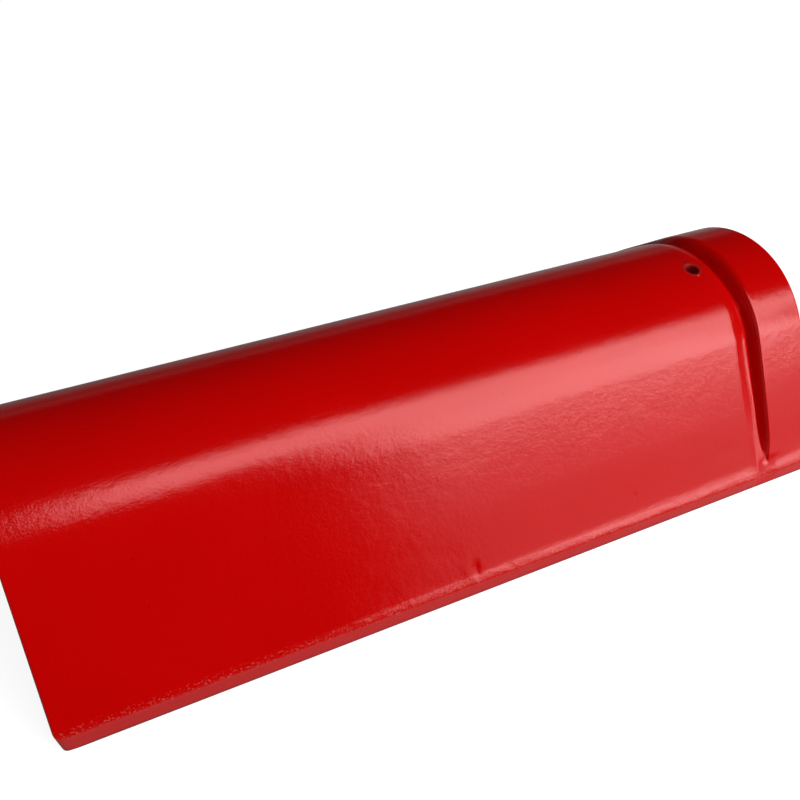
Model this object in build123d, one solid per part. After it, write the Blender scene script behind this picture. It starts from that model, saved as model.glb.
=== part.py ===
from build123d import *
import os
from math import acos, atan2, cos, hypot, pi, sin, tan

# Red ridge tile: an arched roof tile with flat flanks, fired as one piece.
# Millimetres, +Z up.  The tile lies as it does on a ridge or on a floor, on its two long feet.
# X runs along the ridge, with the grooved end at +X.  The origin is the middle of the footprint.

# Overall size
length = 400.0
height = 83.3
width_grooved_end = 185.6
end_taper = 9.4

# Section: a crown arc that runs tangent into two flat flanks, which end in upright foot faces
crown_radius = 57.1
foot_height = 9.64
wall = 13.0

# Groove across the grooved end: a rolled near side, a floor and a steep far side
end_band = 30.5
band_rise = 1.3
groove_depth = 6.5
groove_roll = 12.0
groove_floor = 3.5
groove_draft = 0.4
groove_root_round = 2.0
groove_lip_round = 0.8

# The groove and the band fade into the flanks on their way down to the foot faces
fade_run = 14.5
fade_above_foot = 3.3

# Nail hole on the crown line
nail_hole_diameter = 7.0
nail_hole_lip_round = 0.6
nail_hole_to_groove = 4.5

# Softened edges
corner_round = 3.0
outer_edge_round = 1.2
inner_edge_round = 1.0

# Straight steps that make up a quarter turn of the groove's section
roll_steps = 6
corner_steps = 3

half_grooved = width_grooved_end / 2
half_plain = half_grooved - end_taper / 2
crown_centre = height - crown_radius
foot_drop = foot_height - crown_centre
slope = atan2(half_grooved, foot_drop) - acos(crown_radius / hypot(half_grooved, foot_drop))
band_start = length / 2 - end_band
roll_end = band_start - groove_floor
roll_start = roll_end - groove_roll
nail_hole_x = roll_start - nail_hole_to_groove


def shoulder(side, depth):
    """Point where the crown arc meets a flank, so deep under the outer surface."""
    radius = crown_radius - depth
    return (side * radius * sin(slope), crown_centre + radius * cos(slope))


def toe(depth):
    """How far out a flank's line, so deep under the outer surface, meets the floor."""
    return (crown_radius + crown_centre * cos(slope) - depth) / sin(slope)


def on_flank(side, up, depth):
    """Point of a flank at a height over the floor, so deep under the outer surface."""
    return (side * (toe(depth) - up / tan(slope)), up)


def foot_top(x):
    """Height of the foot face at X = x, where the flank ends."""
    half_width = (half_plain + half_grooved) / 2 + (half_grooved - half_plain) * x / length
    return (toe(0) - half_width) * tan(slope)


def plane_across(x):
    """Plane across the ridge, with its own x along +Y and its own y upwards."""
    return Plane(origin=(x, 0, 0), x_dir=(0, 1, 0), z_dir=(1, 0, 0))


def arch(x, depth=0.0):
    """Filled arch section at X = x, with its surface so deep under the outer one."""
    crown = (0, height - depth)
    with BuildSketch(plane_across(x)) as section:
        with BuildLine():
            ThreePointArc(shoulder(-1, depth), crown, shoulder(1, depth))
            Line(shoulder(1, depth), on_flank(1, 0, depth))
            Line(on_flank(1, 0, depth), on_flank(-1, 0, depth))
            Line(on_flank(-1, 0, depth), shoulder(-1, depth))
        make_face()
    return section.sketch


def faded_arch(x, depth):
    """The arch section at some depth, but back at the outer surface near the feet."""
    crown = (0, height - depth)
    fade_foot = foot_top(roll_start) + fade_above_foot
    fade_top = fade_foot + fade_run
    with BuildSketch(plane_across(x)) as section:
        with BuildLine():
            ThreePointArc(shoulder(-1, depth), crown, shoulder(1, depth))
            for side in (1, -1):
                Line(shoulder(side, depth), on_flank(side, fade_top, depth))
                Line(on_flank(side, fade_top, depth), on_flank(side, fade_foot, 0))
                Line(on_flank(side, fade_foot, 0), on_flank(side, 0, 0))
            Line(on_flank(-1, 0, 0), on_flank(1, 0, 0))
        make_face()
    return section.sketch


def along_ridge(section, run):
    """A section carried so far along +X."""
    return extrude(section, amount=run, dir=(1, 0, 0))


def quarter_turn(steps):
    """Angles from zero to a right angle."""
    return [step / steps * pi / 2 for step in range(steps + 1)]


def groove_stations():
    """Places along the ridge and depths there: down the roll, along the floor, up the far side."""
    stations = []
    for turn in quarter_turn(roll_steps):
        stations.append((roll_start + groove_roll * sin(turn), groove_depth * (1 - cos(turn))))
    root_start = band_start - groove_draft - groove_root_round
    for turn in quarter_turn(corner_steps):
        rise = groove_root_round * (1 - cos(turn))
        stations.append((root_start + groove_root_round * sin(turn), groove_depth - rise))
    for turn in quarter_turn(corner_steps):
        drop = groove_lip_round * (1 - sin(turn))
        stations.append((band_start + groove_lip_round * (1 - cos(turn)), drop - band_rise))
    return stations


def tile_blank():
    """Solid arch with the groove and the end band formed on it, not yet trimmed or hollow."""
    blank = along_ridge(arch(-length / 2), roll_start + length / 2)
    stations = groove_stations()
    for near, far in zip(stations, stations[1:]):
        blank += loft([faded_arch(*near), faded_arch(*far)], ruled=True)
    band_top = stations[-1][0]
    return blank + along_ridge(faded_arch(band_top, -band_rise), length / 2 - band_top)


def footprint():
    """Plan outline as a tall block, wider at the grooved end, that trims the feet upright."""
    end = length / 2
    corners = [(-end, -half_plain), (end, -half_grooved), (end, half_grooved), (-end, half_plain)]
    return extrude(make_face(Polyline(corners, close=True)), amount=2 * height)


def softened_outside(blank):
    """The blank with its upright corners rounded, then its foot arrises, from which the same
    rounding runs on over the corners and round both end rims."""
    blank = fillet(blank.edges().filter_by(Axis.Z), corner_round)
    lengthwise = blank.edges().filter_by(lambda edge: edge.length > length - 3 * corner_round)
    return fillet(lengthwise.filter_by(lambda edge: edge.center().Z > 1), outer_edge_round)


def hollowed(tile):
    """The tile with the space under it taken out, and the edges of that space softened."""
    overrun = 10.0
    space = along_ridge(arch(-length / 2 - overrun, wall), length + 2 * overrun)
    shell = tile - space
    return fillet(new_edges(tile, space, combined=shell), inner_edge_round)


def with_nail_hole(tile):
    """The tile with an upright hole through its crown, the hole's mouth softened."""
    drill = Pos(nail_hole_x, 0, height) * Cylinder(nail_hole_diameter / 2, 4 * wall)
    drilled = tile - drill
    mouth = new_edges(tile, drill, combined=drilled).filter_by(lambda e: e.center().Z > height - wall / 2)
    return fillet(mouth, nail_hole_lip_round)


def ridge_tile():
    """The whole tile as one solid."""
    return with_nail_hole(hollowed(softened_outside(tile_blank() & footprint())))


os.makedirs("parts", exist_ok=True)
tile = ridge_tile()
tile.label = "ridge_tile"
export_step(tile, "parts/ridge_tile.step")
box = tile.bounding_box()
print("ridge_tile", "solids", len(tile.solids()), "volume", round(tile.volume), "size", box.size)
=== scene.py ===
"""A red glazed ridge tile lying on its two feet, on a pale floor in soft studio light."""
from math import atan2, cos, exp, hypot, pi, radians, sin, sqrt, tan

import bmesh
import bpy
from mathutils import Matrix, Vector, noise


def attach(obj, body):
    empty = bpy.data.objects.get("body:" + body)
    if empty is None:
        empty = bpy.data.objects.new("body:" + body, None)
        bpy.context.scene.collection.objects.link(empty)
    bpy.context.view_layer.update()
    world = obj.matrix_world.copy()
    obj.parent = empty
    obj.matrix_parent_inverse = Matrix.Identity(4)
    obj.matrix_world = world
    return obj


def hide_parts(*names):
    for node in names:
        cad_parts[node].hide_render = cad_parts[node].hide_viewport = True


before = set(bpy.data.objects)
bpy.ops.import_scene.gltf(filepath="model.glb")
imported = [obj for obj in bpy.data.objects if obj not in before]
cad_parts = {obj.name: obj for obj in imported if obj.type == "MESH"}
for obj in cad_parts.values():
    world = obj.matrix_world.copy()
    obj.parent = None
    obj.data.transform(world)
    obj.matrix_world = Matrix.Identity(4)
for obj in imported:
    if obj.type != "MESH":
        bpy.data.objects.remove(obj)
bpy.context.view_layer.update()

# The tile's measures in millimetres, on the frame's axes
MM = 0.001
LENGTH = 400.0
HEIGHT = 83.3
HALF_PLAIN = 88.1
HALF_GROOVED = 92.77
CROWN_R = 57.1
SLOPE = radians(47.4)
WALL = 13.0
CROWN_Z = HEIGHT - CROWN_R
EDGE_ROUND = 1.2
CORNER_ROUND = 3.0
CORNER_START = LENGTH / 2 - CORNER_ROUND

# The crown and the nail hole lie over the first height, and the feet under the second
UPPER_Z = 60.0
LOWER_Z = 40.0

# Nail hole
HOLE_X = 149.5
HOLE_R = 3.5
HOLE_LIP = 0.8
HOLE_LIP_STEPS = 4
HOLE_MARGIN = 0.5
HOLE_PATCH = 4.9
HOLE_CUTS = 5

# Groove across the grooved end: how steeply its near side falls in degrees, by place along the
# ridge, over the crown, high on a flank and low on it
GROOVE_START = 153.4
NEAR_CROWN = ((GROOVE_START, 0), (155.8, 6), (158.0, 13), (160.2, 23), (162.0, 31), (163.6, 41),
              (164.8, 60), (165.8, 80))
NEAR_HIGH = ((GROOVE_START, 0), (155.0, 7.5), (158.4, 9.5), (159.8, 13), (162.0, 17), (163.2, 25),
             (164.3, 43), (165.1, 68), (165.8, 82))
NEAR_LOW = ((GROOVE_START, 0), (154.8, 3.8), (157.9, 4.2), (158.9, 8.2), (161.6, 8.6), (162.2, 25),
            (163.2, 45), (164.3, 70), (165.2, 82))
FALL_STEPS = 20
GROOVE_DEPTH = 6.5
CROWN_DEPTH = 5.8
BELOW_FLOOR = 2 * GROOVE_DEPTH
FLOOR_BLEND = 1.2
FLOOR_BLEND_SHARE = 0.8

# Where one form of the groove gives way to the next, as runs of the distance round from the
# crown line
CROWN_TO_HIGH = (5, 33)
HIGH_TO_LOW = (52, 104)
CROWN_FADE = (4, 44)
CROWN_FADE_BEHIND = (40, 70)
BEHIND = (0, 30)

# Towards a foot the groove runs out like a spoon, with a ramp let into its near side
SPOON_START = 99.0
SPOON_REACH = 16.5
RAMP_FROM = 161.0
RAMP_START = 87
RAMP_GROWTH = 0.00022
RAMP_FALL = radians(8.5)

# What is left of the groove at a foot: its depth, and how it rises again towards the end
FOOT_DEPTH = 1.7
FOOT_LOSS = 0.9
FOOT_LOSS_RUN = (110, 116)
FOOT_BLEND = 0.8
FOOT_RUN = (111.5, 116)
FOOT_RISE_FROM = 163
FOOT_RISE_LENGTH = 30
FOOT_RISE_CURVE = 1.6

# End band: where its lip is flat again and how wide the lip is, on a flank and over the crown,
# how far the lip draws back high and low on a flank, and how proud the band stands
LIP_END = 170.2
LIP_WIDTH = 2.0
CROWN_LIP_END = 172.8
CROWN_LIP_WIDTH = 6.4
BEHIND_LIP_WIDTH = 9.0
LIP_BACK_HIGH = 0.6
LIP_BACK_HIGH_RUN = (50, 90)
LIP_BACK_LOW = 1.9
LIP_BACK_LOW_RUN = (101, 114)
BAND_RISE = 0.8
CROWN_RISE = 0.46
BAND_FADE = (66, 118)

# Slow swells of the fired clay: their length and width, their height, and finer ones on them
SWELL_SIZE = (55, 38)
SWELL_HEIGHT = 0.07
FINE_SWELL = 3.1
FINE_SWELL_HEIGHT = 0.03
FINE_SWELL_SHIFT = Vector((7, 3, 1))
BACK_SEED = 40.0

# The flanks dip and turn out again a little just over the feet, towards the grooved end; where
# the groove runs out they stay dipped
TURN_OUT = 0.7
DIP_RUN = (82, 113)
TURN_OUT_RUN = (112, 121)
TURN_OUT_ALONG = (-110, -30)
SPOON_FROM = (157.5, 160.0)
SPOON_TO = (168, 174)

# Faults low on the front flank: place along the ridge and round from the crown line, depth,
# and how far each reaches along and round
DENT_X = -14.0
PIT_X = 78.7
FAULTS = (
    (DENT_X, 111.5, 0.34, 1.7, 4.0),
    (DENT_X - 4, 112.0, -0.12, 2.6, 5.0),
    (DENT_X - 12, 100.0, 0.14, 6.0, 5.0),
    (PIT_X, 106.0, 0.22, 0.9, 0.9),
    (140.0, 101.0, 0.16, 8.0, 5.0),
)

# Wear of a foot's two long edges, and chips out of its arris
EDGE_REACH = 1.3
ARRIS_WEAR = 0.35
FLOOR_EDGE_WEAR = 0.7
WEAR_ENDS = (193, 198)
CHIP_DEPTH = 0.3
CHIP_LENGTH = 4.0
CHIP_SEED = 9.0
CHIP_ROW = 2.0
CHIP_START = 0.05

# The upright corners draw in by this share of a full round, along a curve on the surface, and
# less far up the wall's inner part
CORNER_SHARE = 0.8
CORNER_CURVE = 6
SURFACE_DEPTH = 1.5
FOOT_FACE_DEPTH = 3.0
UNDER_SHARE = 0.5

# Depths between which the relief of the outer surface dies away, and distances from the nail
# hole over which it comes in
SKIN = (1.5, 6.0)
ROUND_HOLE = (4.5, 9.0)

# Runs over which the marks fade: the worn cut edge over the arris, the rough arris off it,
# the painted contact shade over the floor, and the painted shade and dull rim off the hole
CUT_EDGE_RUN = (-0.9, 0.5)
ROUGH_ARRIS_RUN = (0.8, 3.0)
CONTACT_SHADE_RUN = (0.6, 3.2)
HOLE_RIM_RUN = (4.0, 6.2)

# How finely the clay is cut up round the section, in runs longer than these, and at its edges
EDGE_SEGMENTS = 4
END_CUTS = 3
CROWN_STEPS = 60
FLANK_STEPS = 52
FLANK_LENGTH = 40
EDGE_CUTS = 4
EDGE_LENGTH = 8
SHARP = radians(20)

# How finely it is cut up along the ridge, as runs of places with their numbers of steps
STATION_RUNS = (
    (-CORNER_START - 1.4, -CORNER_START - 0.7, 1),
    (-CORNER_START, DENT_X - 6, 66),
    (DENT_X - 5, DENT_X + 4, 9),
    (DENT_X + 6, PIT_X - 3, 32),
    (PIT_X - 2, PIT_X + 2, 8),
    (PIT_X + 4, HOLE_X - 6, 24),
    (HOLE_X - 5, HOLE_X + 3, 8),
    (GROOVE_START, 162.4, 26),
    (162.65, 165.9, 13),
    (166.3, 167.8, 3),
    (168.1, LIP_END, 12),
    (LIP_END + 0.5, CROWN_LIP_END, 8),
    (CROWN_LIP_END + 1.5, CORNER_START, 14),
    (CORNER_START + 0.7, CORNER_START + 1.4, 1),
)

# Slack in millimetres for telling points, edges and surfaces apart
SAME_POINT = 1e-4
SAME_CUT = 1e-5
SAME_SURFACE = 0.01
SAME_RIM = 0.15

# Reds of the coat, from the plain glaze to its flecks and its worn places, with a dark red
# painted as shade round the nail hole, a dark purple-red painted as contact shade along the
# floor, and a pale pink painted as glints on chips of the arris
RED = (0.60, 0.0004, 0.0004, 1)
LIGHT_RED = (0.64, 0.0006, 0.0006, 1)
MOTTLE_RED = (0.40, 0.0003, 0.0003, 1)
FLECK_RED = (0.20, 0.002, 0.002, 1)
CUT_RED = (0.76, 0.006, 0.006, 1)
HOLE_SHADE_RED = (0.12, 0.001, 0.001, 1)
CONTACT_SHADE_RED = (0.22, 0.002, 0.012, 1)
ARRIS_GLINT_PINK = (0.62, 0.09, 0.07, 1)
SHEEN_TINT = (1.0, 0.50, 0.50, 1)
WHITE = (1, 1, 1, 1)

# How much of each look shows, at most: the mottle, the flecks, the painted shade round the
# nail hole and the painted glints on the arris
MOTTLE_SHARE = 0.14
FLECK_SHARE = 0.5
HOLE_SHADE_SHARE = 0.55
ARRIS_GLINT_SHARE = 0.8

# How much each size of grain adds to the height of the coat, how high that is in metres, and
# how much more of it the worn places have
SPECK_HEIGHT = 1.0
PEEL_HEIGHT = 1.1
CREASE_HEIGHT = 1.3
SLOW_HEIGHT = 1.7
# What the mottle and the height both start from, so the mottle is nearly full everywhere
GRAIN_BASE = 0.5
GRAIN_STRENGTH = 0.13
GRAIN_REACH = 0.0004
EDGE_GRIT = 1.5
ARRIS_GRIT = 8.0

# Roughness from the plain coat to the hole's rim, which is so many times as dull as a cut edge
ROUGHNESS = (0.14, 0.70)
RIM_DULLNESS = 2.0

# Soft lights of the studio in metres: a corner, the two sides from there, and the brightness
PANELS = {
    "overhead_left": ((-0.35, -0.58, 2.0), (0, -0.70, 0), (0.85, 0, 0), 5.0),
    "overhead": ((0.5, -0.64, 2.0), (0, -0.92, 0), (1.5, -0.144, 0), 5.6),
    "overhead_right": ((2.0, -0.784, 2.0), (0, -0.92, 0), (1.2, -0.116, 0), 4.3),
    "front": ((0.70, -2.0, 1.04), (0, 0, 1.4), (2.25, 0, 0), 6.3),
    "front_low": ((0.62, -2.0, 0.33), (0, 0, 0.71), (2.0, 0, 0), 1.05),
    "low_right": ((4.0, -2.9, 0.0), (0, 0, 0.22), (0, 3.2, 0), 5.0),
    "left": ((-2.4, -1.9, 0.3), (0, 0, 1.2), (0, 1.5, 0), 0.5),
}

# Floor in metres: how pale it is from the tile backwards, and the share of that from the left
# to the right, a painted shade that darkens it behind the tile and to the left; how white it
# then looks to the camera, and how much of that mirrors show
FLOOR_HALF = 6.0
FLOOR_BACKWARDS = (0.05, 0.50)
FLOOR_SHADED_PALENESS = (0.42, 0.05)
FLOOR_RIGHTWARDS = (-0.20, 0.25)
FLOOR_SHARE = (0.6, 1.0)
FLOOR_PALE_RUN = (0.0, 0.4)
FLOOR_WHITE = (1.0, 0.82)
FLOOR_IN_MIRRORS = 0.03

# World: the backdrop that mirrors show, fading with height, and the fill on matt surfaces
BACKDROP_RUN = (0.01, 0.08)
BACKDROP_WHITE = (0.2, 0.008)
FILL = 0.08

# Camera, with its turn in degrees
CAMERA_PLACE = (-0.14643, -0.21246, 0.33836)
CAMERA_TURN = (39.8746, -5.6152, -24.7595)
CAMERA_LENS = 35.12
CAMERA_SENSOR = 36.0


def smooth(low, high, value):
    """0 below low, 1 above high, with a soft change between."""
    t = min(1.0, max(0.0, (value - low) / (high - low)))
    return t * t * (3 - 2 * t)


def bump(value, middle, reach):
    """1 at the middle, falling softly to nothing about two reaches away."""
    return exp(-((value - middle) / reach) ** 2)


def between(first, second, share):
    """A number that is the first at no share and the second at a full one."""
    return first + (second - first) * share


def soft_least(a, b, blend):
    """The lesser of two depths, with their meeting rounded."""
    near = max(0.0, blend - abs(a - b)) / blend
    return min(a, b) - near * near * blend / 4


# Section of the tile

def shoulder(side, depth):
    """Where the crown meets a flank, so deep under the outer surface."""
    radius = CROWN_R - depth
    return side * radius * sin(SLOPE), CROWN_Z + radius * cos(SLOPE)


def toe(depth):
    """How far out a flank's line, so deep under the outer surface, meets the floor."""
    return (CROWN_R + CROWN_Z * cos(SLOPE) - depth) / sin(SLOPE)


def half_width(x):
    """How far out the foot faces stand at a place along the ridge."""
    return between(HALF_PLAIN, HALF_GROOVED, x / LENGTH + 0.5)


def arris_z(half):
    """Height of the arris over a foot whose face stands so far out."""
    return (toe(0) - half) * tan(SLOPE)


def surface_place(y, z):
    """Distance round the outside from the crown line, depth under it, and the way outwards."""
    angle = atan2(y, z - CROWN_Z)
    if abs(angle) < SLOPE:
        out = Vector((0, sin(angle), cos(angle)))
        return -CROWN_R * angle, CROWN_R - hypot(y, z - CROWN_Z), out
    side = 1 if y > 0 else -1
    out = Vector((0, side * sin(SLOPE), cos(SLOPE)))
    at_shoulder = shoulder(side, 0)
    down = (abs(y) - abs(at_shoulder[0])) * cos(SLOPE) - (z - at_shoulder[1]) * sin(SLOPE)
    depth = (at_shoulder[0] - y) * out.y + (at_shoulder[1] - z) * out.z
    return -side * (CROWN_R * SLOPE + down), depth, out


def pen_line(bm, start, y, z):
    """Draws a straight run of the section from a point, and returns its far point."""
    tip = bmesh.ops.extrude_vert_indiv(bm, verts=[start])["verts"][0]
    tip.co = (start.co.x, y, z)
    return tip


def pen_arc(bm, start, angle):
    """Draws an arc of the section about the crown's centre, and returns its far point."""
    drawn = bmesh.ops.spin(bm, geom=[start], cent=(start.co.x, 0, CROWN_Z), axis=(1, 0, 0),
                           dvec=(0, 0, 0), angle=angle, steps=CROWN_STEPS, use_duplicate=False)
    return [v for v in drawn["geom_last"] if isinstance(v, bmesh.types.BMVert)][0]


def draw_section(bm, x, half):
    """The tile's outline across the ridge, as one closed ring of edges."""
    tip = bm.verts.new((x, -half, arris_z(half)))
    tip = pen_line(bm, tip, *shoulder(-1, 0))
    tip = pen_arc(bm, tip, -2 * SLOPE)
    tip = pen_line(bm, tip, half, arris_z(half))
    tip = pen_line(bm, tip, half, 0)
    tip = pen_line(bm, tip, toe(WALL), 0)
    tip = pen_line(bm, tip, *shoulder(1, WALL))
    tip = pen_arc(bm, tip, 2 * SLOPE)
    tip = pen_line(bm, tip, -toe(WALL), 0)
    tip = pen_line(bm, tip, -half, 0)
    pen_line(bm, tip, -half, arris_z(half))
    bmesh.ops.remove_doubles(bm, verts=bm.verts[:], dist=SAME_POINT)
    flanks = [edge for edge in bm.edges if edge.calc_length() > FLANK_LENGTH]
    bmesh.ops.subdivide_edges(bm, edges=flanks, cuts=FLANK_STEPS - 1)
    faces = [edge for edge in bm.edges if edge.calc_length() > EDGE_LENGTH]
    bmesh.ops.subdivide_edges(bm, edges=faces, cuts=EDGE_CUTS)


# The blank

def widen_end(verts):
    """Slides the feet of one ring out along the flanks, to the wider end's half width."""
    flank_top = shoulder(1, 0)[0]
    more = HALF_GROOVED - HALF_PLAIN
    for v in verts:
        side = 1 if v.co.y > 0 else -1
        reach, z = abs(v.co.y), v.co.z
        depth = surface_place(v.co.y, v.co.z)[1]
        if depth < SAME_SURFACE and reach > flank_top:
            slid = more * (reach - flank_top) / (HALF_PLAIN - flank_top)
            v.co.y += side * slid
            v.co.z -= slid * tan(SLOPE)
        elif reach > HALF_PLAIN - SAME_SURFACE:
            v.co.y += side * more
            v.co.z -= more * tan(SLOPE) * z / arris_z(HALF_PLAIN)


def close_end(bm, face):
    """Turns one end's single face into rows of faces across the wall."""
    kinds = {"outer": [], "inner": [], "foot": []}
    for edge in face.edges:
        middle = (edge.verts[0].co + edge.verts[1].co) / 2
        depth = surface_place(middle.y, middle.z)[1]
        kind = "foot"
        if abs(depth - EDGE_ROUND) < SAME_RIM:
            kind = "outer"
        elif abs(depth - WALL + EDGE_ROUND) < SAME_RIM:
            kind = "inner"
        kinds[kind].append(edge)
    bmesh.ops.delete(bm, geom=[face], context="FACES_ONLY")
    bridged = bmesh.ops.bridge_loops(bm, edges=kinds["outer"] + kinds["inner"])
    across = [edge for edge in bridged["edges"] if edge.is_valid]
    bmesh.ops.subdivide_edges(bm, edges=across, cuts=END_CUTS)
    loose = [edge for edge in bm.edges if len(edge.link_faces) == 1]
    bmesh.ops.holes_fill(bm, edges=loose, sides=0)


def tile_blank():
    """The arched tile with soft edges and plain closed ends, not yet grooved."""
    bm = bmesh.new()
    draw_section(bm, -LENGTH / 2, HALF_PLAIN)
    grown = bmesh.ops.extrude_edge_only(bm, edges=bm.edges[:])["geom"]
    far = [v for v in grown if isinstance(v, bmesh.types.BMVert)]
    bmesh.ops.translate(bm, verts=far, vec=(LENGTH, 0, 0))
    widen_end(far)
    near_ring = [edge for edge in bm.edges if all(v.co.x < 0 for v in edge.verts)]
    far_ring = [edge for edge in bm.edges if all(v.co.x > 0 for v in edge.verts)]
    for ring in (near_ring, far_ring):
        bmesh.ops.edgeloop_fill(bm, edges=ring)
    bmesh.ops.recalc_face_normals(bm, faces=bm.faces[:])
    sharp = [edge for edge in bm.edges if edge.calc_face_angle(0) > SHARP]
    bmesh.ops.bevel(bm, geom=sharp, offset=EDGE_ROUND, offset_type="OFFSET", profile=0.5,
                    segments=EDGE_SEGMENTS, affect="EDGES", clamp_overlap=False, material=-1)
    ends = [face for face in bm.faces if len(face.verts) > CROWN_STEPS]
    for face in ends:
        close_end(bm, face)
    bmesh.ops.recalc_face_normals(bm, faces=bm.faces[:])
    return bm


def stations():
    """Every place along the ridge where the tile is cut through."""
    return [between(low, high, k / count)
            for low, high, count in STATION_RUNS for k in range(count + 1)]


def reaches_past(part, x):
    """True if a vertex, edge or face lies wholly at or beyond a place along the ridge."""
    corners = [part] if isinstance(part, bmesh.types.BMVert) else part.verts
    return min(v.co.x for v in corners) > x - SAME_POINT


def cut_stations(bm):
    """Cuts the tile's long strips across at every station."""
    strips = [face for face in bm.faces if face.calc_perimeter() > LENGTH]
    rails = [edge for edge in bm.edges if edge.calc_length() > LENGTH / 2]
    rest = strips + rails + [v for edge in rails for v in edge.verts]
    for x in stations():
        cut = bmesh.ops.bisect_plane(bm, geom=rest, dist=SAME_CUT, plane_co=(x, 0, 0),
                                     plane_no=(1, 0, 0))
        rest = [part for part in cut["geom"] if reaches_past(part, x)]


# Nail hole

def hole_patch(bm, outside):
    """Clears a patch of one surface round the nail hole, and returns the edges left open."""
    patch = []
    for face in bm.faces:
        middle = face.calc_center_median()
        same_surface = (middle.z > HEIGHT - WALL / 2) == outside
        angle = atan2(middle.y, middle.z - CROWN_Z)
        near = abs(middle.x - HOLE_X) <= HOLE_PATCH and abs(angle) * CROWN_R < HOLE_PATCH
        if near and same_surface and middle.z >= UPPER_Z:
            patch.append(face)
    inside = set(patch)
    rim = [edge for edge in bm.edges if {face in inside for face in edge.link_faces} == {True, False}]
    bmesh.ops.delete(bm, geom=patch, context="FACES")
    return rim


def draw_in(bm, rim, radius, drop, depth):
    """Carries an open edge loop in to a circle round the nail hole."""
    grown = bmesh.ops.extrude_edge_only(bm, edges=rim)["geom"]
    for v in grown:
        if isinstance(v, bmesh.types.BMVert):
            turn = atan2(v.co.y, v.co.x - HOLE_X)
            v.co.x = HOLE_X + radius * cos(turn)
            v.co.y = radius * sin(turn)
            v.co.z = CROWN_Z + sqrt((CROWN_R - depth) ** 2 - v.co.y ** 2) - drop
    return [edge for edge in grown if isinstance(edge, bmesh.types.BMEdge)]


def pierce(bm):
    """Makes the nail hole, with a softened mouth."""
    rim = hole_patch(bm, True)
    rim = draw_in(bm, rim, HOLE_R + HOLE_LIP + HOLE_MARGIN, 0, 0)
    for k in range(HOLE_LIP_STEPS + 1):
        turn = k / HOLE_LIP_STEPS * pi / 2
        rim = draw_in(bm, rim, HOLE_R + HOLE_LIP * (1 - sin(turn)), HOLE_LIP * (1 - cos(turn)), 0)
    under = draw_in(bm, hole_patch(bm, False), HOLE_R, 0, WALL)
    shaft = bmesh.ops.bridge_loops(bm, edges=rim + under)
    upright = [edge for edge in shaft["edges"] if edge.is_valid]
    bmesh.ops.subdivide_edges(bm, edges=upright, cuts=HOLE_CUTS)


# Groove and end band

def near_fall(sides):
    """Depths down a near side of the groove, as its steepness adds up from place to place."""
    falls = [(sides[0][0], 0.0)]
    for (x0, fall0), (x1, fall1) in zip(sides, sides[1:]):
        step = (x1 - x0) / FALL_STEPS
        for k in range(FALL_STEPS):
            steep = radians(between(fall0, fall1, (k + 0.5) / FALL_STEPS))
            falls.append((falls[-1][0] + step, falls[-1][1] + step * tan(steep)))
    return falls


CROWN_FALLS = near_fall(NEAR_CROWN)
HIGH_FALLS = near_fall(NEAR_HIGH)
LOW_FALLS = near_fall(NEAR_LOW)


def depth_on(falls, x):
    """Depth at a place along the ridge, read from a near side's list of depths."""
    for (x0, depth0), (x1, depth1) in zip(falls, falls[1:]):
        if x < x1:
            return between(depth0, depth1, (x - x0) / (x1 - x0))
    return BELOW_FLOOR


def near_depth(x, g):
    """Depth of the groove's near side; low on a flank it is gentler, with a ramp let in."""
    ramp = RAMP_GROWTH * max(0.0, g - RAMP_START) ** 3
    ramped = min(max(0.0, x - RAMP_FROM), ramp)
    low = smooth(*HIGH_TO_LOW, g)
    top = 1 - smooth(*CROWN_TO_HIGH, g)
    high = depth_on(HIGH_FALLS, x - ramped)
    if top:
        return between(high, depth_on(CROWN_FALLS, x), top)
    return between(high, depth_on(LOW_FALLS, x - ramped), low) + ramped * tan(RAMP_FALL)


def far_depth(x, g, crown, behind):
    """Depth of the groove's far side: a rounded lip that falls away to the groove's floor."""
    lip_end = between(LIP_END, CROWN_LIP_END, crown)
    lip_end -= LIP_BACK_HIGH * smooth(*LIP_BACK_HIGH_RUN, g)
    lip_end -= LIP_BACK_LOW * smooth(*LIP_BACK_LOW_RUN, g)
    width = between(LIP_WIDTH, between(CROWN_LIP_WIDTH, BEHIND_LIP_WIDTH, behind), crown)
    rise = (BAND_RISE + CROWN_RISE * crown) * (1 - smooth(*BAND_FADE, g))
    share = (lip_end - x) / width
    if share >= 1:
        return GROOVE_DEPTH
    round_off = 1 - sqrt(1 - max(0.0, share) ** 2)
    return (GROOVE_DEPTH + rise) * round_off - rise


def foot_depth(g):
    """Depth that the groove keeps at a foot, which lessens towards the arris."""
    return FOOT_DEPTH - FOOT_LOSS * smooth(*FOOT_LOSS_RUN, g)


def floor_depth(g, crown):
    """Depth of the groove's floor, which runs out like a spoon on its way down to a foot."""
    deepest = between(GROOVE_DEPTH, CROWN_DEPTH, crown)
    past = max(0.0, g - SPOON_START)
    if not past:
        return deepest
    run_out = deepest * (1 - (past / SPOON_REACH) ** 2)
    return -soft_least(-run_out, -foot_depth(g), FOOT_BLEND)


def groove(x, girth):
    """Depth of the groove, or rise of the end band, at a place on the outer surface."""
    g = abs(girth)
    crown = 1 - smooth(*(CROWN_FADE if girth > 0 else CROWN_FADE_BEHIND), g)
    behind = smooth(*BEHIND, -girth)
    floor = floor_depth(g, crown)
    blend = min(FLOOR_BLEND, FLOOR_BLEND_SHARE * floor)
    near = soft_least(near_depth(x, g), floor, blend)
    risen = min(1.0, max(0.0, x - FOOT_RISE_FROM) / FOOT_RISE_LENGTH)
    at_foot = foot_depth(g) * (1 - risen) ** FOOT_RISE_CURVE
    far = between(far_depth(x, g, crown, behind), at_foot, smooth(*FOOT_RUN, g))
    return soft_least(near, far, blend)


# Relief and wear of the clay

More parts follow.
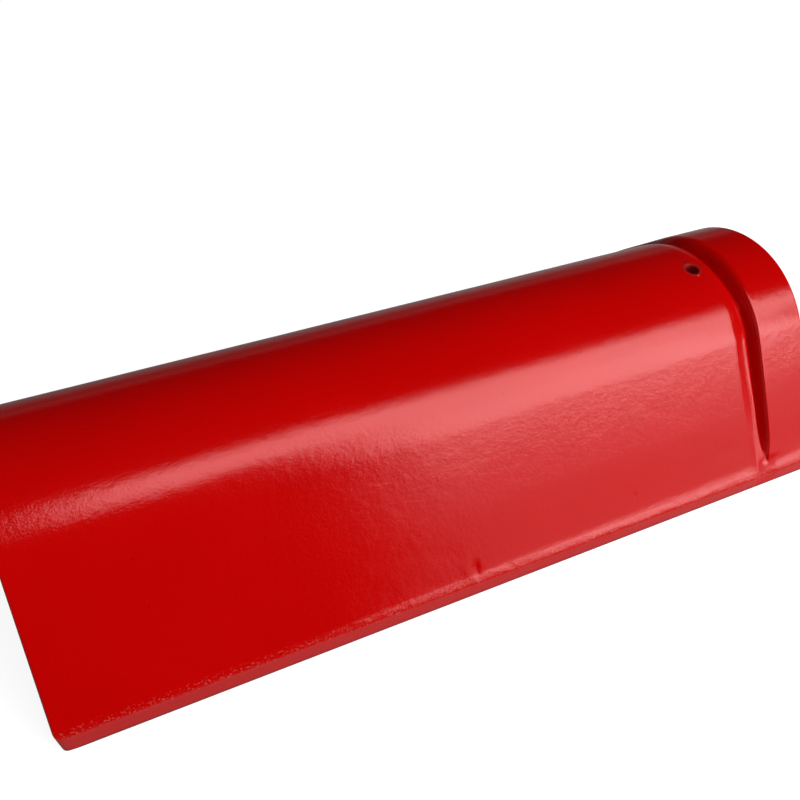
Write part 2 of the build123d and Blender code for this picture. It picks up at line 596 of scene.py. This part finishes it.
def relief(x, girth):
    """How far the outer surface stands proud at a place, besides the groove."""
    front = girth > 0
    g = abs(girth)
    place = Vector((x / SWELL_SIZE[0], girth / SWELL_SIZE[1], 0.0 if front else BACK_SEED))
    rise = SWELL_HEIGHT * noise.noise(place)
    rise += FINE_SWELL_HEIGHT * noise.noise(place * FINE_SWELL + FINE_SWELL_SHIFT)
    spoon = smooth(*SPOON_FROM, x) * (1 - smooth(*SPOON_TO, x))
    turned_out = smooth(*TURN_OUT_RUN, g) * (1 - spoon)
    rise -= TURN_OUT * smooth(*DIP_RUN, g) * (1 - turned_out) * smooth(*TURN_OUT_ALONG, x)
    if front:
        for fault_x, fault_g, depth, along, across in FAULTS:
            rise -= depth * bump(x, fault_x, along) * bump(g, fault_g, across)
    return rise


def soften_feet(v, place, side, out):
    """Wears a foot's arris and its edge on the floor, short of the corners, and chips the arris."""
    x, y, z = place
    if abs(x) >= WEAR_ENDS[1]:
        return
    half = half_width(x)
    marked = 1 - smooth(*WEAR_ENDS, abs(x))
    off_arris = Vector((0, y - side * half, z - arris_z(half)))
    if off_arris.length < EDGE_REACH:
        v.co -= off_arris * ARRIS_WEAR * marked
        chip = noise.noise(Vector((x / CHIP_LENGTH, side * CHIP_SEED, CHIP_ROW)))
        v.co += out * CHIP_DEPTH * min(0.0, chip - CHIP_START)
    off_floor = Vector((0, y - side * half, z))
    if off_floor.length < EDGE_REACH:
        v.co -= off_floor * FLOOR_EDGE_WEAR * marked


def corner_slide(x):
    """How far the feet draw in at the rounded corners."""
    past = abs(x) - CORNER_START
    if past <= 0:
        return 0.0
    return CORNER_ROUND - sqrt(CORNER_ROUND ** 2 - past ** 2)


def draw_in_corner(v, place, side, depth):
    """Rounds the upright corners, by drawing the feet in up the flanks' slope."""
    x, y, z = place
    flank_top = shoulder(1, 0)[0]
    slid = corner_slide(x) * CORNER_SHARE
    if not slid or z >= LOWER_Z or abs(y) <= flank_top:
        return
    half = half_width(x)
    if depth > SURFACE_DEPTH:
        slid *= smooth(toe(WALL), half, abs(y))
    else:
        slid *= ((abs(y) - flank_top) / (half - flank_top)) ** CORNER_CURVE
    share = 1 if depth < FOOT_FACE_DEPTH else UNDER_SHARE
    v.co.y -= side * slid
    v.co.z += slid * tan(SLOPE) * min(1, z / arris_z(half)) * share


def mark_wear_and_shade(v, marks, place, depth):
    """Writes down how worn a point is, and where shade is painted along the floor and round the
    nail hole, for the glaze to read.
    """
    x, y, z = place
    over_arris = z - arris_z(half_width(x))
    v[marks["cut_edge"]] = 1 - smooth(*CUT_EDGE_RUN, over_arris)
    # Painted contact shade along the floor
    v[marks["contact_shade"]] = 1 - smooth(*CONTACT_SHADE_RUN, z)
    if depth < FOOT_FACE_DEPTH:
        v[marks["rough_arris"]] = 1 - smooth(*ROUGH_ARRIS_RUN, abs(over_arris))
    if z > UPPER_Z:
        # Painted shade round the nail hole; the same mark also dulls the rim
        v[marks["dull_shaded_hole_rim"]] = 1 - smooth(*HOLE_RIM_RUN, hypot(x - HOLE_X, y))


def shape_surface(bm):
    """Moves the cut blank's points: the feet first, then the groove and the clay's own relief."""
    marks = {}
    for name in ("cut_edge", "rough_arris", "dull_shaded_hole_rim", "contact_shade"):
        marks[name] = bm.verts.layers.float.new(name)
    for v in bm.verts:
        place = v.co.copy()
        x, y, z = place
        side = 1 if y > 0 else -1
        girth, depth, out = surface_place(y, z)
        soften_feet(v, place, side, out)
        draw_in_corner(v, place, side, depth)
        rise = -groove(x, girth) if x > GROOVE_START else 0.0
        off_hole = smooth(*ROUND_HOLE, hypot(x - HOLE_X, y)) if z > UPPER_Z else 1.0
        rise += relief(x, girth) * off_hole
        v.co += out * rise * (1 - smooth(*SKIN, depth))
        v.co.z = max(0.0, v.co.z)
        mark_wear_and_shade(v, marks, place, depth)


def build_tile():
    """The whole tile as one smooth mesh in metres."""
    bm = tile_blank()
    cut_stations(bm)
    pierce(bm)
    shape_surface(bm)
    bmesh.ops.recalc_face_normals(bm, faces=bm.faces[:])
    bmesh.ops.scale(bm, vec=(MM, MM, MM), verts=bm.verts[:])
    for face in bm.faces:
        face.smooth = True
    mesh = bpy.data.meshes.new("glazed_tile")
    bm.to_mesh(mesh)
    bm.free()
    tile = bpy.data.objects.new("glazed_tile", mesh)
    bpy.context.scene.collection.objects.link(tile)
    return tile


# Nodes

def put(tree, kind, links=(), **values):
    """Adds a node, sets its named fields and sockets, and links sockets to it."""
    node = tree.nodes.new(kind)
    for name, value in values.items():
        if hasattr(node, name):
            setattr(node, name, value)
        else:
            node.inputs[name.replace("_", " ")].default_value = value
    for source, target in links:
        tree.links.new(source, node.inputs[target])
    return node


def feed(tree, socket, value):
    """Gives a socket a plain value, or links another socket to it."""
    if isinstance(value, bpy.types.NodeSocket):
        tree.links.new(value, socket)
    else:
        socket.default_value = value


def times_plus(tree, factor, amount, rest=0.0):
    """A factor times an amount, plus the rest, each of the last two plain or a socket."""
    node = put(tree, "ShaderNodeMath", [(factor, 0)], operation="MULTIPLY_ADD")
    feed(tree, node.inputs[1], amount)
    feed(tree, node.inputs[2], rest)
    return node.outputs[0]


def ranged(tree, value, given, wanted):
    """Carries a value's run between two numbers over to a run between two others."""
    node = put(tree, "ShaderNodeMapRange", [(value, "Value")],
               From_Min=given[0], From_Max=given[1], To_Min=wanted[0], To_Max=wanted[1])
    return node.outputs[0]


def mixed_colour(tree, factor, first, second):
    """A colour between two, each plain or a socket, by a factor that changes over the surface."""
    mix = put(tree, "ShaderNodeMix", data_type="RGBA")
    tree.links.new(factor, mix.inputs[0])
    feed(tree, mix.inputs[6], first)
    feed(tree, mix.inputs[7], second)
    return mix.outputs[2]


def marked(tree, mark):
    """How strongly a point is marked, for wear or for painted shade, as written on the tile's points.
    """
    return put(tree, "ShaderNodeAttribute", attribute_name=mark).outputs["Fac"]


def ray_kinds(tree):
    """Whether a ray comes from the camera, from a mirror or glass, or from a matt surface."""
    path = put(tree, "ShaderNodeLightPath")
    mirrored = put(tree, "ShaderNodeMath", [(path.outputs["Is Glossy Ray"], 0),
                                            (path.outputs["Is Transmission Ray"], 1)],
                   operation="ADD")
    return path.outputs["Is Camera Ray"], mirrored.outputs[0], path.outputs["Is Diffuse Ray"]


def new_group(name, inputs, outputs):
    """A shader node group with named inputs and outputs."""
    group = bpy.data.node_groups.new(name, "ShaderNodeTree")
    for label, kind, value in inputs:
        socket = group.interface.new_socket(label, in_out="INPUT", socket_type=kind)
        socket.default_value = value
    for label in outputs:
        group.interface.new_socket(label, in_out="OUTPUT", socket_type="NodeSocketFloat")
    start = group.nodes.new("NodeGroupInput")
    end = group.nodes.new("NodeGroupOutput")
    return group, start.outputs, end.inputs


def bare_material(name):
    """A material with only its output in it."""
    material = bpy.data.materials.new(name)
    material.use_nodes = True
    tree = material.node_tree
    tree.nodes.clear()
    return material, tree, put(tree, "ShaderNodeOutputMaterial").inputs["Surface"]


# Materials

def fired_grain():
    """Surface of a brushed coat over fired clay: slow swells, leathery creases, peel and nubs."""
    group, given, made = new_group(
        "fired_grain",
        [("Position", "NodeSocketVector", (0, 0, 0)), ("Peel Scale", "NodeSocketFloat", 1100.0),
         ("Crease Scale", "NodeSocketFloat", 420.0), ("Swell Scale", "NodeSocketFloat", 150.0),
         ("Nub Scale", "NodeSocketFloat", 150.0)],
        ["Height", "Mottle", "Specks"],
    )
    at = given["Position"]

    def noise_at(scale, detail, roughness):
        """Noise at one of the group's scales."""
        return put(group, "ShaderNodeTexNoise", [(at, "Vector"), (given[scale], "Scale")],
                   Detail=detail, Roughness=roughness).outputs["Fac"]

    peel = noise_at("Peel Scale", 3.0, 0.6)
    crease = noise_at("Crease Scale", 3.0, 0.55)
    swell = noise_at("Swell Scale", 2.0, 0.5)
    nubs = put(group, "ShaderNodeTexVoronoi", [(at, "Vector"), (given["Nub Scale"], "Scale")])
    dots = ranged(group, nubs.outputs["Distance"], (0.04, 0.11), (1.0, 0.0))
    few = ranged(group, nubs.outputs["Color"], (0.76, 0.80), (0.0, 1.0))
    specks = times_plus(group, dots, few)
    level = GRAIN_BASE - (SLOW_HEIGHT + CREASE_HEIGHT + PEEL_HEIGHT) / 2
    height = times_plus(group, swell, SLOW_HEIGHT, level)
    height = times_plus(group, crease, CREASE_HEIGHT, height)
    height = times_plus(group, peel, PEEL_HEIGHT, height)
    height = times_plus(group, specks, SPECK_HEIGHT, height)
    group.links.new(height, made["Height"])
    mottle = times_plus(group, crease, 0.5, times_plus(group, peel, 0.5, GRAIN_BASE))
    group.links.new(mottle, made["Mottle"])
    group.links.new(specks, made["Specks"])
    return group


def coat_colour(tree, at, grain):
    """Red that clouds, mottles and flecks a little, changes where the coat is worn, darkens as
    painted shade round the nail hole and along the floor, and takes painted glints on the arris.
    """
    clouds = put(tree, "ShaderNodeTexNoise", [(at, "Vector")], Scale=14.0, Detail=3.0)
    clouded = ranged(tree, clouds.outputs["Fac"], (0.35, 0.65), (0.0, 1.0))
    mottled = ranged(tree, grain["Mottle"], (0.38, 0.62), (0.0, MOTTLE_SHARE))
    flecked = times_plus(tree, grain["Specks"], FLECK_SHARE)
    # Painted glints: pale pink specks on the rough arris, where the coat is chipped
    glint_noise = put(tree, "ShaderNodeTexNoise", [(at, "Vector")], Scale=1000.0, Detail=2.0)
    glint_specks = ranged(tree, glint_noise.outputs["Fac"], (0.56, 0.66), (0.0, ARRIS_GLINT_SHARE))
    arris_glints = times_plus(tree, glint_specks, marked(tree, "rough_arris"))
    coat = mixed_colour(tree, clouded, RED, LIGHT_RED)
    coat = mixed_colour(tree, mottled, coat, MOTTLE_RED)
    coat = mixed_colour(tree, flecked, coat, FLECK_RED)
    coat = mixed_colour(tree, marked(tree, "cut_edge"), coat, CUT_RED)
    # Painted shade: the coat is darkened round the nail hole
    coat = mixed_colour(tree, times_plus(tree, marked(tree, "dull_shaded_hole_rim"), HOLE_SHADE_SHARE), coat, HOLE_SHADE_RED)
    # Painted shade: a dark line along the floor, where the contact shadow falls
    coat = mixed_colour(tree, marked(tree, "contact_shade"), coat, CONTACT_SHADE_RED)
    return mixed_colour(tree, arris_glints, coat, ARRIS_GLINT_PINK)


def red_glaze():
    """Glossy red coat, a little uneven, and duller and rougher where it is worn, with painted
    shade and glints in its colour.
    """
    material, tree, surface = bare_material("red_glaze")
    shader = put(tree, "ShaderNodeBsdfPrincipled", IOR=1.5)
    shader.inputs["Specular IOR Level"].default_value = 0.6
    shader.inputs["Specular Tint"].default_value = SHEEN_TINT
    tree.links.new(shader.outputs[0], surface)
    at = put(tree, "ShaderNodeTexCoord").outputs["Object"]
    grain = put(tree, "ShaderNodeGroup", [(at, "Position")], node_tree=GRAIN).outputs
    tree.links.new(coat_colour(tree, at, grain), shader.inputs["Base Color"])
    edge = marked(tree, "cut_edge")
    dull = times_plus(tree, marked(tree, "dull_shaded_hole_rim"), RIM_DULLNESS, edge)
    rough = ranged(tree, dull, (0.0, RIM_DULLNESS), ROUGHNESS)
    tree.links.new(rough, shader.inputs["Roughness"])
    gritty = times_plus(tree, edge, EDGE_GRIT, 1.0)
    gritty = times_plus(tree, marked(tree, "rough_arris"), ARRIS_GRIT, gritty)
    height = times_plus(tree, grain["Height"], gritty)
    grained = put(tree, "ShaderNodeBump", [(height, "Height")],
                  Strength=GRAIN_STRENGTH, Distance=GRAIN_REACH)
    tree.links.new(grained.outputs[0], shader.inputs["Normal"])
    return material


def pale_floor():
    """Pale floor that the camera sees as white, apart from the tile's shadow; its colour is
    painted darker behind the tile and to the left, as shade that mirrors show.
    """
    material, tree, surface = bare_material("pale_floor")
    where = put(tree, "ShaderNodeTexCoord")
    across = put(tree, "ShaderNodeSeparateXYZ", [(where.outputs["Object"], 0)])
    # Painted shade: the floor is darker behind the tile and to the left, away from the lights
    backwards = ranged(tree, across.outputs["Y"], FLOOR_BACKWARDS, FLOOR_SHADED_PALENESS)
    rightwards = ranged(tree, across.outputs["X"], FLOOR_RIGHTWARDS, FLOOR_SHARE)
    shaded_paleness = times_plus(tree, backwards, rightwards)
    matt = put(tree, "ShaderNodeBsdfDiffuse", [(shaded_paleness, "Color")])
    camera, mirrored, _ = ray_kinds(tree)
    white = ranged(tree, shaded_paleness, FLOOR_PALE_RUN, FLOOR_WHITE)
    seen = times_plus(tree, camera, white, times_plus(tree, mirrored, FLOOR_IN_MIRRORS))
    glow = put(tree, "ShaderNodeEmission", [(seen, "Strength")], Color=WHITE)
    both = put(tree, "ShaderNodeAddShader", [(matt.outputs[0], 0), (glow.outputs[0], 1)])
    tree.links.new(both.outputs[0], surface)
    return material


# Studio

def studio_world():
    """White to the camera; a low white backdrop in reflections, under a dark studio; a faint fill."""
    world = bpy.data.worlds.new("studio")
    bpy.context.scene.world = world
    world.use_nodes = True
    tree = world.node_tree
    tree.nodes.clear()
    where = put(tree, "ShaderNodeTexCoord")
    height = put(tree, "ShaderNodeSeparateXYZ", [(where.outputs["Generated"], 0)])
    backdrop = ranged(tree, height.outputs["Z"], BACKDROP_RUN, BACKDROP_WHITE)
    camera, mirrored, matt = ray_kinds(tree)
    shown = times_plus(tree, mirrored, backdrop, camera)
    strength = times_plus(tree, matt, FILL, shown)
    light = put(tree, "ShaderNodeBackground", [(strength, "Strength")], Color=WHITE)
    put(tree, "ShaderNodeOutputWorld", [(light.outputs[0], "Surface")])


def add_panel(name, corner, up, along, brightness):
    """A rectangular soft light from a corner and its two sides, facing the tile."""
    corner, up, along = Vector(corner), Vector(up), Vector(along)
    up -= up.project(along)
    lamp = bpy.data.lights.new(name, "AREA")
    lamp.shape = "RECTANGLE"
    lamp.size = along.length
    lamp.size_y = up.length
    lamp.energy = brightness * pi * along.length * up.length
    light = bpy.data.objects.new(name, lamp)
    light.visible_camera = False
    away = along.cross(up).normalized()
    middle = corner + (up + along) / 2
    if away.dot(middle) < 0:
        away = -away
        along = -along
    turn = Matrix((along.normalized(), up.normalized(), away)).transposed()
    light.rotation_euler = turn.to_euler()
    light.location = middle
    bpy.context.scene.collection.objects.link(light)


def add_camera():
    """The camera, above and before the plain end, looking along the tile towards the groove."""
    data = bpy.data.cameras.new("camera")
    data.sensor_width = CAMERA_SENSOR
    data.lens = CAMERA_LENS
    camera = bpy.data.objects.new("camera", data)
    camera.location = CAMERA_PLACE
    camera.rotation_euler = [radians(turn) for turn in CAMERA_TURN]
    bpy.context.scene.collection.objects.link(camera)
    bpy.context.scene.camera = camera


def add_floor():
    """One wide flat sheet at the tile's feet."""
    bm = bmesh.new()
    bmesh.ops.create_grid(bm, x_segments=1, y_segments=1, size=FLOOR_HALF)
    mesh = bpy.data.meshes.new("floor")
    bm.to_mesh(mesh)
    bm.free()
    floor = bpy.data.objects.new("floor", mesh)
    bpy.context.scene.collection.objects.link(floor)
    mesh.materials.append(pale_floor())


GRAIN = fired_grain()
add_camera()
add_floor()
studio_world()
for panel_name, panel in PANELS.items():
    add_panel(panel_name, *panel)

tile = build_tile()
tile.data.materials.append(red_glaze())
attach(tile, "root")
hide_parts("ridge_tile")

scene = bpy.context.scene
scene.view_settings.view_transform = "Standard"
